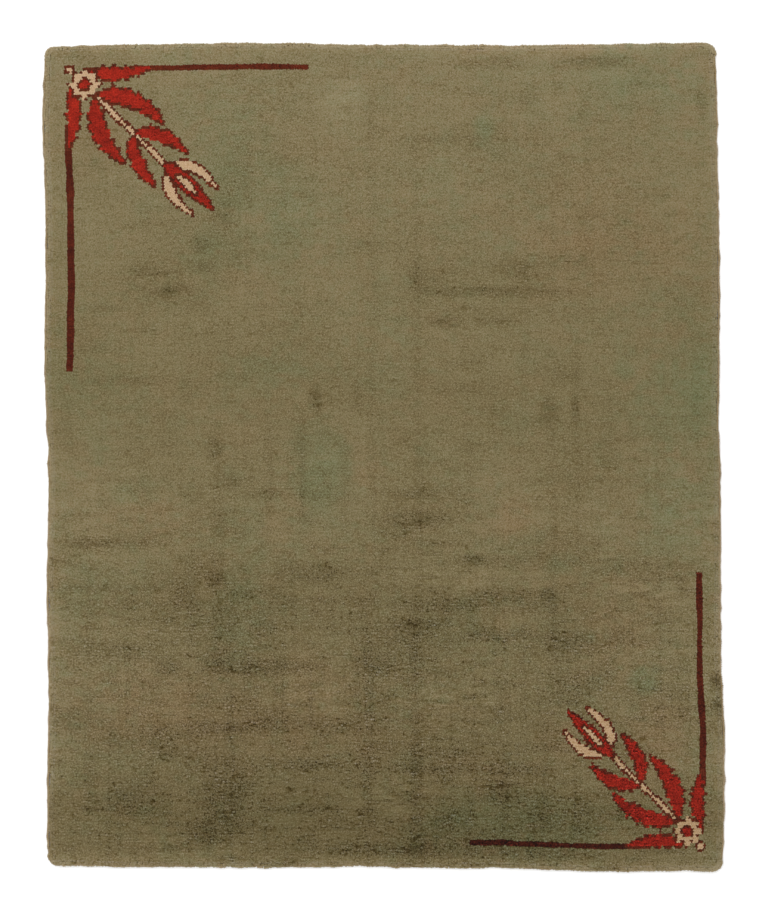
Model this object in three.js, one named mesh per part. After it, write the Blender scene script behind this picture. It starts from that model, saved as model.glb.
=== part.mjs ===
// A rya rug lying flat with its cut pile up. Millimetres, +X to the right, +Y to the head end, +Z up.
// The origin is on the floor under the middle of the rug's box.
// The woven cloth with its knotted pile is one lumpy slab. A thick cord, overcast in wool, binds each
// long side. The two ends are turned under, so they are part of the cloth.

import * as THREE from "three";

// Size of the rug between the mean lines of its edges
const WIDTH = 1700;
const LENGTH = 2078;
const CORNER_RADIUS = 26;

// Floor to the tips of the pile, where the pile stands highest between its lumps
const THICKNESS = 15;

// Overcast cord along each long side
const CORD_WIDTH = 9;
const CORD_HEIGHT = 8;
const CORD_SIDES = 8;
const CORD_STEP = 28;
const CORD_SWELL = 0.8;
const GAP = 0.3;

// Locks of pile at the rim, as the eye sees them from a step away
const LOCK_PITCH = 30;
const LOCK_BULGE = 1.3;
const CORNER_STEPS = 6;

// Grid of the pile's face inside the rim
const FACE_COLUMNS = 20;
const FACE_ROWS = 24;
const FACE_INSET = 60;

// Soft lumps of the pile: height, length of the wave and the direction it runs in
const LUMPS = [
  { height: 0.55, wave: 620, degrees: 78, start: 0.4 },
  { height: 0.4, wave: 390, degrees: 12, start: 2.1 },
  { height: 0.35, wave: 270, degrees: 118, start: 4.6 },
  { height: 0.25, wave: 205, degrees: 55, start: 1.2 },
];

// Section of the rim, from the floor up. "out" counts from the rim's own line.
// At the ends the pile bulges over the hem. Along the sides it leans a little over the cord.
const END_RIM = [
  { out: -3.0, up: 0.0 },
  { out: -2.4, up: 3.5 },
  { out: -0.6, up: 7.5 },
  { out: -1.0, up: 11.0 },
  { out: -4.5, up: 13.8 },
  { out: -12.0, up: 15.0 },
];
const SIDE_RIM = [
  { out: 0.0, up: 0.0 },
  { out: 0.0, up: 6.5 },
  { out: 1.8, up: 9.5 },
  { out: 1.0, up: 12.0 },
  { out: -3.0, up: 14.0 },
  { out: -10.0, up: 15.0 },
];

// The first of these rows that the locks push out. The rows under it are the woven ground.
const FIRST_PILE_ROW = 2;

// How far each edge strays outwards from its mean line. "at" runs up the rug along the sides, and to
// the right along the ends.
const EDGE_STRAY = {
  left: [
    { at: -1039, out: -5 },
    { at: -917, out: -2 },
    { at: -650, out: -4.5 },
    { at: -305, out: -1.5 },
    { at: -60, out: -4.5 },
    { at: 204, out: 4 },
    { at: 610, out: 2.5 },
    { at: 816, out: 9 },
    { at: 1039, out: 5 },
  ],
  right: [
    { at: -1039, out: 5 },
    { at: -900, out: 11 },
    { at: -715, out: 10.5 },
    { at: -450, out: 1 },
    { at: 0, out: 0.5 },
    { at: 100, out: -4.5 },
    { at: 510, out: -2 },
    { at: 870, out: -7 },
    { at: 1039, out: -11.5 },
  ],
  head: [
    { at: -850, out: -5 },
    { at: -600, out: 0 },
    { at: -400, out: 3.5 },
    { at: -60, out: -1 },
    { at: 330, out: -4 },
    { at: 500, out: -1.5 },
    { at: 660, out: 3.5 },
    { at: 850, out: 3.5 },
  ],
  foot: [
    { at: -850, out: -7 },
    { at: -600, out: -4 },
    { at: -250, out: -1 },
    { at: -80, out: -4.5 },
    { at: 250, out: -0.5 },
    { at: 580, out: 8.5 },
    { at: 720, out: 7.5 },
    { at: 850, out: 9.5 },
  ],
};

const { degToRad, lerp, seededRandom, smoothstep } = THREE.MathUtils;

// How far an edge strays at one place, eased from one row of its table to the next.
function strayAt(edge, at) {
  const rows = EDGE_STRAY[edge];
  const next = rows.findIndex((row) => row.at >= at);
  if (next === 0) return rows[0].out;
  if (next < 0) return rows.at(-1).out;
  const before = rows[next - 1];
  const after = rows[next];
  return lerp(before.out, after.out, smoothstep(at, before.at, after.at));
}

// Takes a point of the rug as woven, a true rectangle, to where it lies.
function lie(across, along) {
  const toRight = across / WIDTH + 0.5;
  const toHead = along / LENGTH + 0.5;
  return {
    x: across + lerp(-strayAt("left", along), strayAt("right", along), toRight),
    y: along + lerp(-strayAt("foot", across), strayAt("head", across), toHead),
  };
}

// Height of the pile's lumps at one place.
function lumpAt(across, along) {
  let height = 0;
  for (const lump of LUMPS) {
    const turn = degToRad(lump.degrees);
    const travel = across * Math.cos(turn) + along * Math.sin(turn);
    height += lump.height * Math.sin((2 * Math.PI * travel) / lump.wave + lump.start);
  }
  return height;
}

// A vertex of the slab: how high it lies follows the lumps, and not at all at the floor.
function slabPoint(across, along, up) {
  const place = lie(across, along);
  const lift = 1 + lumpAt(across, along) / THICKNESS;
  return new THREE.Vector3(place.x, place.y, up * lift);
}

// Stations around the rim, anticlockwise seen from above. Each holds the point that the rim turns
// about, its outward direction, how much of the side's section it takes, and its lock's bulge.
function rimStations() {
  const turnAcross = WIDTH / 2 - CORNER_RADIUS;
  const turnAlong = LENGTH / 2 - CORNER_RADIUS;
  const edges = [
    { fromX: turnAcross, fromY: -turnAlong, run: 2 * turnAlong, degrees: 0 },
    { fromX: turnAcross, fromY: turnAlong, run: 2 * turnAcross, degrees: 90 },
    { fromX: -turnAcross, fromY: turnAlong, run: 2 * turnAlong, degrees: 180 },
    { fromX: -turnAcross, fromY: -turnAlong, run: 2 * turnAcross, degrees: 270 },
  ];
  const stations = [];

  function addStation(x, y, angle) {
    const outX = Math.cos(angle);
    const outY = Math.sin(angle);
    const isCrest = stations.length % 2 === 0;
    const bulge = LOCK_BULGE * (0.5 + seededRandom(stations.length + 1));
    stations.push({
      x,
      y,
      outX,
      outY,
      sideShare: smoothstep(Math.abs(outX), 0.72, 1),
      lockOut: isCrest ? bulge : -bulge,
    });
  }

  for (const edge of edges) {
    const angle = degToRad(edge.degrees);
    const runX = -Math.sin(angle);
    const runY = Math.cos(angle);
    const steps = 2 * Math.round(edge.run / LOCK_PITCH);
    for (let step = 0; step < steps; step += 1) {
      const travel = (edge.run * step) / steps;
      addStation(edge.fromX + runX * travel, edge.fromY + runY * travel, angle);
    }
    const cornerX = edge.fromX + runX * edge.run;
    const cornerY = edge.fromY + runY * edge.run;
    for (let step = 0; step < CORNER_STEPS; step += 1) {
      addStation(cornerX, cornerY, angle + degToRad((90 * step) / CORNER_STEPS));
    }
  }
  return stations;
}

// One ring of the rim, at one row of the two sections.
function rimRing(stations, row) {
  const isPile = row >= FIRST_PILE_ROW;
  return stations.map((station) => {
    const share = station.sideShare;
    const sideLine = -(CORD_WIDTH + GAP);
    const out =
      lerp(END_RIM[row].out, sideLine + SIDE_RIM[row].out, share) +
      (isPile ? station.lockOut : 0);
    const up = lerp(END_RIM[row].up, SIDE_RIM[row].up, share);
    const reach = CORNER_RADIUS + out;
    return slabPoint(station.x + station.outX * reach, station.y + station.outY * reach, up);
  });
}

// Turns a list of vertices and a list of triangles into a mesh's geometry.
function closedGeometry(vertices, triangles) {
  const geometry = new THREE.BufferGeometry().setFromPoints(vertices);
  geometry.setIndex(triangles.flat());
  geometry.computeVertexNormals();
  return geometry;
}

// The woven cloth and its pile.
function rugBody() {
  const stations = rimStations();
  const count = stations.length;
  const vertices = [];
  const triangles = [];

  END_RIM.forEach((_, row) => vertices.push(...rimRing(stations, row)));
  for (let row = 0; row < END_RIM.length - 1; row += 1) {
    for (let i = 0; i < count; i += 1) {
      const next = (i + 1) % count;
      const low = row * count;
      const high = low + count;
      triangles.push([low + i, low + next, high + next], [low + i, high + next, high + i]);
    }
  }

  // Underside, flat on the floor
  const sole = vertices.slice(0, count);
  for (const [a, b, c] of THREE.ShapeUtils.triangulateShape(sole, [])) {
    triangles.push([c, b, a]);
  }

  // Face of the pile: a grid that carries the lumps
  const faceStart = vertices.length;
  const faceWidth = WIDTH - 2 * FACE_INSET;
  const faceLength = LENGTH - 2 * FACE_INSET;
  for (let row = 0; row <= FACE_ROWS; row += 1) {
    for (let column = 0; column <= FACE_COLUMNS; column += 1) {
      const across = (column / FACE_COLUMNS - 0.5) * faceWidth;
      const along = (row / FACE_ROWS - 0.5) * faceLength;
      vertices.push(slabPoint(across, along, THICKNESS));
    }
  }
  const faceIndex = (column, row) => faceStart + row * (FACE_COLUMNS + 1) + column;
  for (let row = 0; row < FACE_ROWS; row += 1) {
    for (let column = 0; column < FACE_COLUMNS; column += 1) {
      const a = faceIndex(column, row);
      const b = faceIndex(column + 1, row);
      const c = faceIndex(column + 1, row + 1);
      const d = faceIndex(column, row + 1);
      triangles.push([a, b, c], [a, c, d]);
    }
  }

  // Band between the rim's top ring and the grid, whose border is taken clockwise as a hole
  const border = [];
  for (let row = 0; row < FACE_ROWS; row += 1) border.push(faceIndex(0, row));
  for (let column = 0; column < FACE_COLUMNS; column += 1) border.push(faceIndex(column, FACE_ROWS));
  for (let row = FACE_ROWS; row > 0; row -= 1) border.push(faceIndex(FACE_COLUMNS, row));
  for (let column = FACE_COLUMNS; column > 0; column -= 1) border.push(faceIndex(column, 0));
  const topStart = (END_RIM.length - 1) * count;
  const topRing = stations.map((_, i) => topStart + i);
  const bandIndex = [...topRing, ...border];
  const bandTriangles = THREE.ShapeUtils.triangulateShape(
    topRing.map((index) => vertices[index]),
    [border.map((index) => vertices[index])],
  );
  for (const triangle of bandTriangles) {
    triangles.push(triangle.map((corner) => bandIndex[corner]));
  }
  return closedGeometry(vertices, triangles);
}

// The overcast cord along one side: +1 for the right side, -1 for the left.
// Its inner face keeps the gap to the cloth, and its outer face swells unevenly.
function selvageCord(side) {
  const halfRun = LENGTH / 2 - CORNER_RADIUS - GAP;
  const steps = Math.round((2 * halfRun) / CORD_STEP);
  const cornerReach = 1 / Math.cos(Math.PI / CORD_SIDES);
  const vertices = [];
  const triangles = [];

  for (let step = 0; step <= steps; step += 1) {
    const along = (step / steps - 0.5) * 2 * halfRun;
    const swell = CORD_SWELL * (2 * seededRandom(1000 + side + 2 * step) - 1);
    for (let corner = 0; corner < CORD_SIDES; corner += 1) {
      const angle = ((corner + 0.5) / CORD_SIDES) * 2 * Math.PI;
      const out = Math.cos(angle) * cornerReach;
      const up = 0.5 + 0.5 * Math.sin(angle) * cornerReach;
      const outOfMiddle = (CORD_WIDTH / 2) * out + (out > 0 ? swell * out : 0);
      const across = side * (WIDTH / 2 - CORD_WIDTH / 2 + outOfMiddle);
      const place = lie(across, along);
      vertices.push(new THREE.Vector3(place.x, place.y, CORD_HEIGHT * up));
    }
  }

  // Quads around the cord, then a fan on each end. They face out on the left side, where the sections
  // run the other way round, once their corners are swapped.
  const facing = side > 0 ? (triangle) => [...triangle].reverse() : (triangle) => triangle;
  for (let step = 0; step < steps; step += 1) {
    for (let corner = 0; corner < CORD_SIDES; corner += 1) {
      const next = (corner + 1) % CORD_SIDES;
      const near = step * CORD_SIDES;
      const far = near + CORD_SIDES;
      triangles.push(facing([near + corner, near + next, far + next]));
      triangles.push(facing([near + corner, far + next, far + corner]));
    }
  }
  const last = steps * CORD_SIDES;
  for (let corner = 1; corner < CORD_SIDES - 1; corner += 1) {
    triangles.push(facing([0, corner + 1, corner]));
    triangles.push(facing([last, last + corner, last + corner + 1]));
  }
  return closedGeometry(vertices, triangles);
}

// Colours of the wool, as seen in daylight
const pileWool = new THREE.MeshStandardMaterial({
  color: 0x7a6f4e,
  roughness: 0.95,
  metalness: 0,
});
const selvageWool = new THREE.MeshStandardMaterial({
  color: 0x96805c,
  roughness: 0.9,
  metalness: 0,
});

function namedMesh(name, geometry, material) {
  const mesh = new THREE.Mesh(geometry, material);
  mesh.name = name;
  return mesh;
}

const rug = new THREE.Group();
rug.add(
  namedMesh("rug_body", rugBody(), pileWool),
  namedMesh("selvage_left", selvageCord(-1), selvageWool),
  namedMesh("selvage_right", selvageCord(1), selvageWool),
);

// The edges stray unevenly, so the rug is moved to stand centred over the origin.
const middle = new THREE.Box3().setFromObject(rug).getCenter(new THREE.Vector3());
rug.position.set(-middle.x, -middle.y, 0);

export default rug;
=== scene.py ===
# %% [markdown]
# A rya rug, knotted in Blender
#
# The real thing is a flat woven cloth with thousands of short tufts of wool knotted into it, row by
# row. The wool is cut level, so the tufts open at their tips and stand against each other like grass
# on a lawn. A thick cord wound with wool binds each long side, and the two ends are turned under.
#
# The lesson follows the maker. It lays out the cloth, charts the colour of every knot, ties the
# knots, weaves the ground under them, winds the two side cords, and last lays the rug on a pale floor.

import math

import bpy
import numpy as np
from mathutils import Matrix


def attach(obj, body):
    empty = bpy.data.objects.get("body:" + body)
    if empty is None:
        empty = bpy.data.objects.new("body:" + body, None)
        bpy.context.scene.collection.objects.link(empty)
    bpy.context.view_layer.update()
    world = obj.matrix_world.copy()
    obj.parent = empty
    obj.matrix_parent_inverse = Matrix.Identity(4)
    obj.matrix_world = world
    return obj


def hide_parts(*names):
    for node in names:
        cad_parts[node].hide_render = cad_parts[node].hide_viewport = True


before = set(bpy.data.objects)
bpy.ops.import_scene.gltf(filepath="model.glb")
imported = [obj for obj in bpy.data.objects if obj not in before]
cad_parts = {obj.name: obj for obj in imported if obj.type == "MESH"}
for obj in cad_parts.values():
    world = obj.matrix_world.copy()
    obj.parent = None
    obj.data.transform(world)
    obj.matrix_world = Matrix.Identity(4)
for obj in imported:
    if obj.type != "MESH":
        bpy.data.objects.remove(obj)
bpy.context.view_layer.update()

# %% [markdown]
# The cloth as woven, and the cloth as it lies
#
# On the loom a rug is a true rectangle, and every knot has its place in a column and a row. Off the
# loom the edges stray by up to a centimetre. So each piece is first laid out as woven, where the maths
# is easy, and one function then takes every point to where it really lies. Because the whole rug goes
# through that one function, lines and ornament bend with the edges just as they do in real cloth.

# %% Sizes of the rug
WIDTH = 1.700
LENGTH = 2.078
CORNER_RADIUS = 0.026
THICKNESS = 0.015
GROUND = 0.004
CORD_WIDTH = 0.009
CORD_HEIGHT = 0.008

# The rug's box is centred over the origin, which moves the mean lines of the edges by this much.
CENTRING = (-0.0011, 0.0026)

# How far each edge strays outwards from its mean line, in metres. The first number of each pair runs
# up the rug along the sides, and to the right along the ends.
EDGE_STRAY = {
    "left": [(-1.039, -0.004), (-0.917, -0.001), (-0.65, -0.0042), (-0.305, -0.0008), (-0.06, -0.004),
             (0.204, 0.0058), (0.42, 0.003), (0.61, 0.0035), (0.816, 0.010), (1.039, 0.006)],
    "right": [(-1.039, 0.0055), (-0.9, 0.0112), (-0.715, 0.0107), (-0.48, 0.0028), (0.0, 0.0005),
              (0.1, -0.0042), (0.27, -0.0016), (0.51, -0.0022), (0.87, -0.008), (1.039, -0.0117)],
    "head": [(-0.85, -0.0045), (-0.6, 0.0006), (-0.4, 0.004), (-0.22, 0.0041), (-0.06, 0.0008),
             (0.33, -0.0021), (0.5, 0.0), (0.66, 0.0032), (0.85, 0.0045)],
    "foot": [(-0.85, -0.007), (-0.6, -0.0027), (-0.25, -0.002), (-0.08, -0.005), (0.08, -0.001),
             (0.25, -0.001), (0.58, 0.0082), (0.72, 0.0067), (0.85, 0.009)],
}

# Soft lumps of the pile: height, length of the wave, direction in degrees and where it starts
LUMPS = [(0.00055, 0.620, 78, 0.4), (0.0004, 0.390, 12, 2.1),
         (0.00035, 0.270, 118, 4.6), (0.00025, 0.205, 55, 1.2)]


# %% From the loom to the floor
def eased(share):
    share = np.clip(share, 0.0, 1.0)
    return share * share * (3.0 - 2.0 * share)


def along_table(rows, at):
    """Reads a table of (place, value) pairs at many places, eased from one row to the next."""
    places = np.array([row[0] for row in rows])
    values = np.array([row[1] for row in rows])
    after = np.clip(np.searchsorted(places, at), 1, len(places) - 1)
    before = after - 1
    share = eased((at - places[before]) / (places[after] - places[before]))
    return values[before] + (values[after] - values[before]) * share


def lie(across, along):
    """Takes points of the rug as woven to where they lie on the floor."""
    across, along = np.asarray(across, float), np.asarray(along, float)
    to_right = across / WIDTH + 0.5
    to_head = along / LENGTH + 0.5
    left, right = (along_table(EDGE_STRAY[side], along) for side in ("left", "right"))
    foot, head = (along_table(EDGE_STRAY[side], across) for side in ("foot", "head"))
    x = across - left * (1.0 - to_right) + right * to_right + CENTRING[0]
    y = along - foot * (1.0 - to_head) + head * to_head + CENTRING[1]
    return x, y


def lump_height(across, along):
    """How far the pile's soft lumps lift or sink each point."""
    height = np.zeros_like(across)
    for tall, wave, degrees, start in LUMPS:
        turn = math.radians(degrees)
        travel = across * math.cos(turn) + along * math.sin(turn)
        height += tall * np.sin(2.0 * math.pi * travel / wave + start)
    return height


SPARE_CELLS = 4
NOISE_SPREAD = 1.4


def soft_noise(across, along, wave_across, wave_along, seed):
    """Smooth random values with a spread of about one, in cells of the given size."""
    rng = np.random.default_rng(seed)
    columns = int(WIDTH / wave_across) + SPARE_CELLS
    rows = int(LENGTH / wave_along) + SPARE_CELLS
    lattice = rng.standard_normal((rows, columns))
    x = across / wave_across + columns / 2.0
    y = along / wave_along + rows / 2.0
    left, low = np.floor(x).astype(int), np.floor(y).astype(int)
    share_x, share_y = eased(x - left), eased(y - low)
    left, low = np.clip(left, 0, columns - 2), np.clip(low, 0, rows - 2)
    under = lattice[low, left] * (1 - share_x) + lattice[low, left + 1] * share_x
    over = lattice[low + 1, left] * (1 - share_x) + lattice[low + 1, left + 1] * share_x
    return NOISE_SPREAD * (under * (1 - share_y) + over * share_y)


print("corners as they lie:", [tuple(np.round(lie(x * WIDTH / 2, y * LENGTH / 2), 4))
                               for x in (-1, 1) for y in (-1, 1)])

# %% [markdown]
# Knots and tufts
#
# A knot is a short length of yarn looped round two warps, so all knots sit in columns, and each row
# is beaten down on the one before. The cut yarn of a knot opens into about three tufts that the eye
# can tell apart. Arrays of numbers suit such crowds far better than objects do: one array holds every
# tuft's place across the rug, another its place along it, and each later step only adds an array.
# Every second row of tufts is set half a tuft over, as the opened yarn of cut pile packs.

# %% Lay out the knots and their tufts
KNOT_ACROSS = 0.0066
KNOT_ALONG = 0.0075
TUFTS_ACROSS = 1.5
TUFTS_ALONG = 2

# How far in from the edge the low tufts begin. The rim's taller locks stand outside them.
PILE_INSET = {"side": 0.0190, "end": 0.0155}
SEED = 20

half_across = WIDTH / 2 - PILE_INSET["side"]
half_along = LENGTH / 2 - PILE_INSET["end"]
tuft_columns = round(2 * half_across / KNOT_ACROSS * TUFTS_ACROSS)
tuft_rows = round(2 * half_along / KNOT_ALONG * TUFTS_ALONG)
tuft_across = 2 * half_across / tuft_columns
tuft_along = 2 * half_along / tuft_rows
column, row = np.meshgrid(np.arange(tuft_columns), np.arange(tuft_rows))
column, row = column.ravel(), row.ravel()
row_shift = 0.25 + 0.5 * (row % 2)
woven_x = (column + row_shift) * tuft_across - half_across
woven_y = (row + 0.5) * tuft_along - half_along


def corner_overhang(across, along, inset):
    """How far points lie past the rounded corners of a rim that is moved in by an inset."""
    from_x = np.abs(across) - (WIDTH / 2 - CORNER_RADIUS)
    from_y = np.abs(along) - (LENGTH / 2 - CORNER_RADIUS)
    in_corner = (from_x > 0) & (from_y > 0)
    return np.where(in_corner, np.hypot(from_x, from_y) - (CORNER_RADIUS - inset), -1.0)


kept = corner_overhang(woven_x, woven_y, PILE_INSET["end"]) < 0
column, row, woven_x, woven_y = (a[kept] for a in (column, row, woven_x, woven_y))
print(tuft_columns, "by", tuft_rows, "places,", len(row), "tufts")


def knot_middle(across, along):
    """The middle of the knot that a point of the rug belongs to."""
    return ((np.floor(across / KNOT_ACROSS) + 0.5) * KNOT_ACROSS,
            (np.floor(along / KNOT_ALONG) + 0.5) * KNOT_ALONG)


# %% [markdown]
# The dyed wools
#
# Colours are read in daylight as ordinary screen values, but a shader works in linear light, so each
# one is converted once. They are all given at the same brightness of pile, which is the reference tone.
# The rug looks lighter at the head and darker at the foot as its nap meets the light, and that light and
# shade is painted as a tone laid over them later.

# %% Colours of the yarn
REFERENCE_TONE = 116.0
SCREEN_GAMMA = 2.2


def wool(red, green, blue):
    """A colour from its screen values, 0 to 255, in linear light, by the screen standard's own curve."""
    screen = np.array([red, green, blue], float) / 255.0
    return np.where(screen <= 0.04045, screen / 12.92, ((screen + 0.055) / 1.055) ** 2.4)


FIELD_OLIVE = wool(128, 118, 90)
MOSS = wool(117, 121, 92.5)
RUST_BROWN = wool(134, 117, 89.5)
MAROON = wool(90, 37, 18.5)
DARK_MAROON = wool(83, 30, 13)
RED = wool(148, 33.5, 19)
CREAM = wool(186, 158, 130)
SELVAGE_TAN = wool(144, 127, 98)

# %% [markdown]
# The chart
#
# A rug maker draws on squared paper, one square to a knot. Here the chart is a function: it is asked
# about every knot and answers with a colour, so each edge comes out stepped knot by knot, as it must.
# In two corners a pair of plain lines starts a little off the corner and runs part of the way along,
# and an ordinary plant fills the corner: a pale flower of eight petals, a toothed leaf along each line,
# two pairs of leaves on a thin stem, and a tulip. It is mirrored about the diagonal. Each form is a
# function that says how far inside it a point lies, so the dark outline is simply the knots just
# outside it.


# %% Forms of the ornament
SPINE_POINTS = 97
LEAF_FULLNESS = 0.8
LEAF_TIP_WIDTH = 0.0015


def leaf(x, y, root, bend, tip, half_width, teeth=0, tooth=0.0):
    """Depth inside a leaf along a curved spine, with teeth that point to its tip."""
    t = np.linspace(0.0, 1.0, SPINE_POINTS)
    spine = [r * (1 - t) ** 2 + b * 2 * t * (1 - t) + p * t**2 for r, b, p in zip(root, bend, tip)]
    away = np.hypot(x[:, None] - spine[0], y[:, None] - spine[1])
    nearest = away.argmin(axis=1)
    swell = np.sin(math.pi * t**LEAF_FULLNESS) ** LEAF_FULLNESS
    saw = (t * teeth) % 1.0 - 0.5
    width = half_width * swell * (1.0 - tooth * saw) + LEAF_TIP_WIDTH
    return width[nearest] - away[np.arange(len(x)), nearest]


def flower(x, y, middle, radius, petals=1, scallop=0.0):
    """Depth inside a round flower whose middle lies on the x axis."""
    edge = radius * (1.0 + scallop * np.cos(petals * np.arctan2(y, x - middle)))
    return edge - np.hypot(x - middle, y)


def stem(x, y, start, end, half_width):
    """Depth inside a straight stem on the x axis."""
    along = np.clip(x, start, end)
    return half_width - np.hypot(x - along, y)


# %% Chart of one corner
OUTLINE = 0.0060


def corner_plant(colour, over, down):
    """Paints the plant from back to front. The points are given by their distances from the lines.

    Leaves are given by the root, bend and tip of their spine, their half width, and how many teeth
    they have and how deep. Folding the corner along its diagonal makes each form appear twice."""
    inward, sideways = (over + down) / math.sqrt(2), np.abs(over - down) / math.sqrt(2)
    to_end, off_line = np.maximum(over, down), np.minimum(over, down)
    forms = [
        (RED, leaf(to_end, off_line, (0.050, 0.006), (0.125, 0.024), (0.206, 0.000), 0.0135, 5, 0.7)),
        (CREAM, stem(inward, sideways, 0.030, 0.420, 0.0042)),
        (RED, leaf(inward, sideways, (0.104, 0.008), (0.168, 0.080), (0.274, 0.072), 0.0175, 6, 0.6)),
        (RED, leaf(inward, sideways, (0.246, 0.006), (0.286, 0.060), (0.370, 0.060), 0.0135, 4, 0.6)),
        (CREAM, leaf(inward, sideways, (0.372, 0.006), (0.396, 0.064), (0.490, 0.046), 0.0095)),
        (RED, leaf(inward, sideways, (0.352, 0.000), (0.420, 0.000), (0.520, 0.000), 0.0165)),
        (CREAM, leaf(inward, sideways, (0.396, 0.000), (0.430, 0.000), (0.462, 0.000), 0.0050)),
        (CREAM, flower(inward, sideways, 0.056, 0.0335, 8, 0.18)),
        (RED, flower(inward, sideways, 0.056, 0.0120)),
        (CREAM, flower(inward, sideways, 0.000, 0.0080)),
    ]
    for fill, depth in forms:
        colour[depth > -OUTLINE] = MAROON
        colour[depth > 0] = fill


# %% The two corners
# Which way round each corner is, the plant's size, and the two lines: "down" runs along the rug and
# "over" across it. A line has its place across, its length from where the two would meet, its width,
# the columns or rows of tufts that fill it, and a factor of painted light and shade on its wool, matching
# the light on its part of the rug.
CORNERS = [
    {"turn": 1, "plant": 0.97,
     "down": {"at": -0.785, "length": 0.765, "width": 0.0175, "tufts": 4, "painted_shade": 1.00},
     "over": {"at": 0.9783, "length": 0.604, "width": 0.0141, "tufts": 4, "painted_shade": 1.17}},
    {"turn": -1, "plant": 0.91,
     "down": {"at": 0.794, "length": 0.686, "width": 0.0157, "tufts": 4, "painted_shade": 0.91},
     "over": {"at": -0.9749, "length": 0.582, "width": 0.0144, "tufts": 4, "painted_shade": 0.65}},
]
LINE_START = 0.150
COLUMN_REACH = 0.030
PLANT_REACH = (-0.04, 0.42)


def from_lines(corner, across, along):
    """How far points lie over the rug from a corner's one line, and down it from the other."""
    return corner["turn"] * (across - corner["down"]["at"]), corner["turn"] * (corner["over"]["at"] - along)


def beside_line(off, run, length):
    """One at a line and close to it, and falling to none further off or past its ends."""
    near = np.clip(1.5 - np.abs(off) / COLUMN_REACH, 0.0, 1.0)
    return near * eased((run - LINE_START) / COLUMN_REACH + 1.0) * eased((length - run) / COLUMN_REACH + 1.0)


def straightened(place, line, pitch, run):
    """Places across a line, moved so that the line is straight columns of whole tufts.

    The columns close to it move too, and those further off less and less."""
    near = beside_line(place - line["at"], run, line["length"])
    slip = ((line["at"] - place) / pitch + 0.5 * line["tufts"]) % 1.0 - 0.5
    away = place + near * slip * pitch - line["at"]
    wider = line["width"] / (line["tufts"] * pitch) - 1.0
    return np.where(near > 0, line["at"] + away * (1.0 + near * wider), place)


for corner in CORNERS:
    over, down = from_lines(corner, woven_x, woven_y)
    woven_x = straightened(woven_x, corner["down"], tuft_across, down)
    woven_y = straightened(woven_y, corner["over"], tuft_along, over)


# %% Chart of the whole rug
def on_line(line, off, run, least_width):
    """Which points lie on a line, drawn at least so wide."""
    beside = np.abs(off) < max(line["width"], least_width) / 2
    return beside & (run > LINE_START) & (run < line["length"])


def chart(across, along, least_width=0.0):
    """The wool at every point, before the tone of the pile is laid over it.

    A coarse grid of points can miss a thin line, so it asks for lines of a least width."""
    colour = np.tile(FIELD_OLIVE, (len(across), 1))
    for corner in CORNERS:
        over, down = from_lines(corner, across, along)
        for line, off, run in ((corner["down"], over, down), (corner["over"], down, over)):
            # Each line's wool is multiplied by its painted light and shade
            colour[on_line(line, off, run, least_width)] = DARK_MAROON * line["painted_shade"]
        over, down = from_lines(corner, *knot_middle(across, along))
        low, high = PLANT_REACH
        near = np.flatnonzero((over > low) & (down > low) & (over < high) & (down < high))
        part = colour[near]
        corner_plant(part, over[near] / corner["plant"], down[near] / corner["plant"])
        colour[near] = part
    return colour


plain = (chart(woven_x, woven_y) == FIELD_OLIVE).all(axis=1)
print("tufts in the ornament and lines:", int((~plain).sum()))

# %% [markdown]
# Tone: painted light and shade of the nap and folds, and the dye
#
# Cut pile looks lighter or darker with the way it leans, and here that light and shade is painted into
# the wool's colour. It is painted palest at the head and darkest near the foot, with a pale rim all round
# where the pile opens over the edge and catches light, and dark dashes of painted shadow follow single
# rows of knots. Folds are painted as faint upright lines of shade. The dye is uneven too, greener here and
# browner there. Marks, folds and patches are placed in real sizes, and soft noise of several sizes breaks
# them up, so that no mark has a clean edge.

# %% Tables of tone and dye
# Painted light and shade of the nap over the field, from foot to head as screen brightness, and how much
# lighter its sides are painted below
FIELD_TONE = [(-1.04, 94.0), (-0.90, 94.5), (-0.76, 102.0), (-0.55, 105.0), (-0.38, 105.5), (-0.13, 111.5),
              (0.12, 110.3), (0.37, 112.5), (0.75, 116.2), (1.04, 119.0)]
SIDE_LIFT = 10.0

# Painted light and shade of the nap where it leans unevenly at random, from broad to fine: the cells of
# each noise across and along, its seed, its strength at the head, and how much stronger it gets towards the
# foot
NAP_SHADE_NOISE = {
    "cloud": (0.170, 0.120, 1018, 0.90, 0.00), "patch": (0.050, 0.035, 931, 0.60, 0.60),
    "streak": (0.085, 1.6 * KNOT_ALONG, 966, 0.70, 0.80), "thread": (0.030, KNOT_ALONG, 33, 0.75, 0.85),
    "speckle": (0.014, KNOT_ALONG, 37, 0.30, 0.40), "upright": (1.3 * KNOT_ACROSS, 0.200, 34, 0.50, 0.60),
}

# How strong marks and folds are on the whole, how much streaks, threads and speckles break them up, and
# the least and most that this leaves
MARK_BREAKUP = (1.00, 0.28, 0.30, 0.20, 0.3, 1.9)
FOLD_BREAKUP = (0.95, 0.00, 0.25, 0.20, 0.2, 1.8)
FOLD_FADE = 0.12

# Short dark dashes of painted shadow along single lines of tufts: how rare they are, how much past that
# they can grow, how far their lines wander and in what cells. Then the chance in each tuft's own tone,
# partly random and partly painted shade that now and then sinks a tuft deep.
DASH_LENGTH = 0.0090
DASH_DEPTH = 7.0
DASH_RARITY = 0.95
DASH_MOST = 1.8
ROW_WANDER = 0.0035
WANDER_CELL = (0.045, 0.035)
TUFT_SHAKE = 2.3

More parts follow.
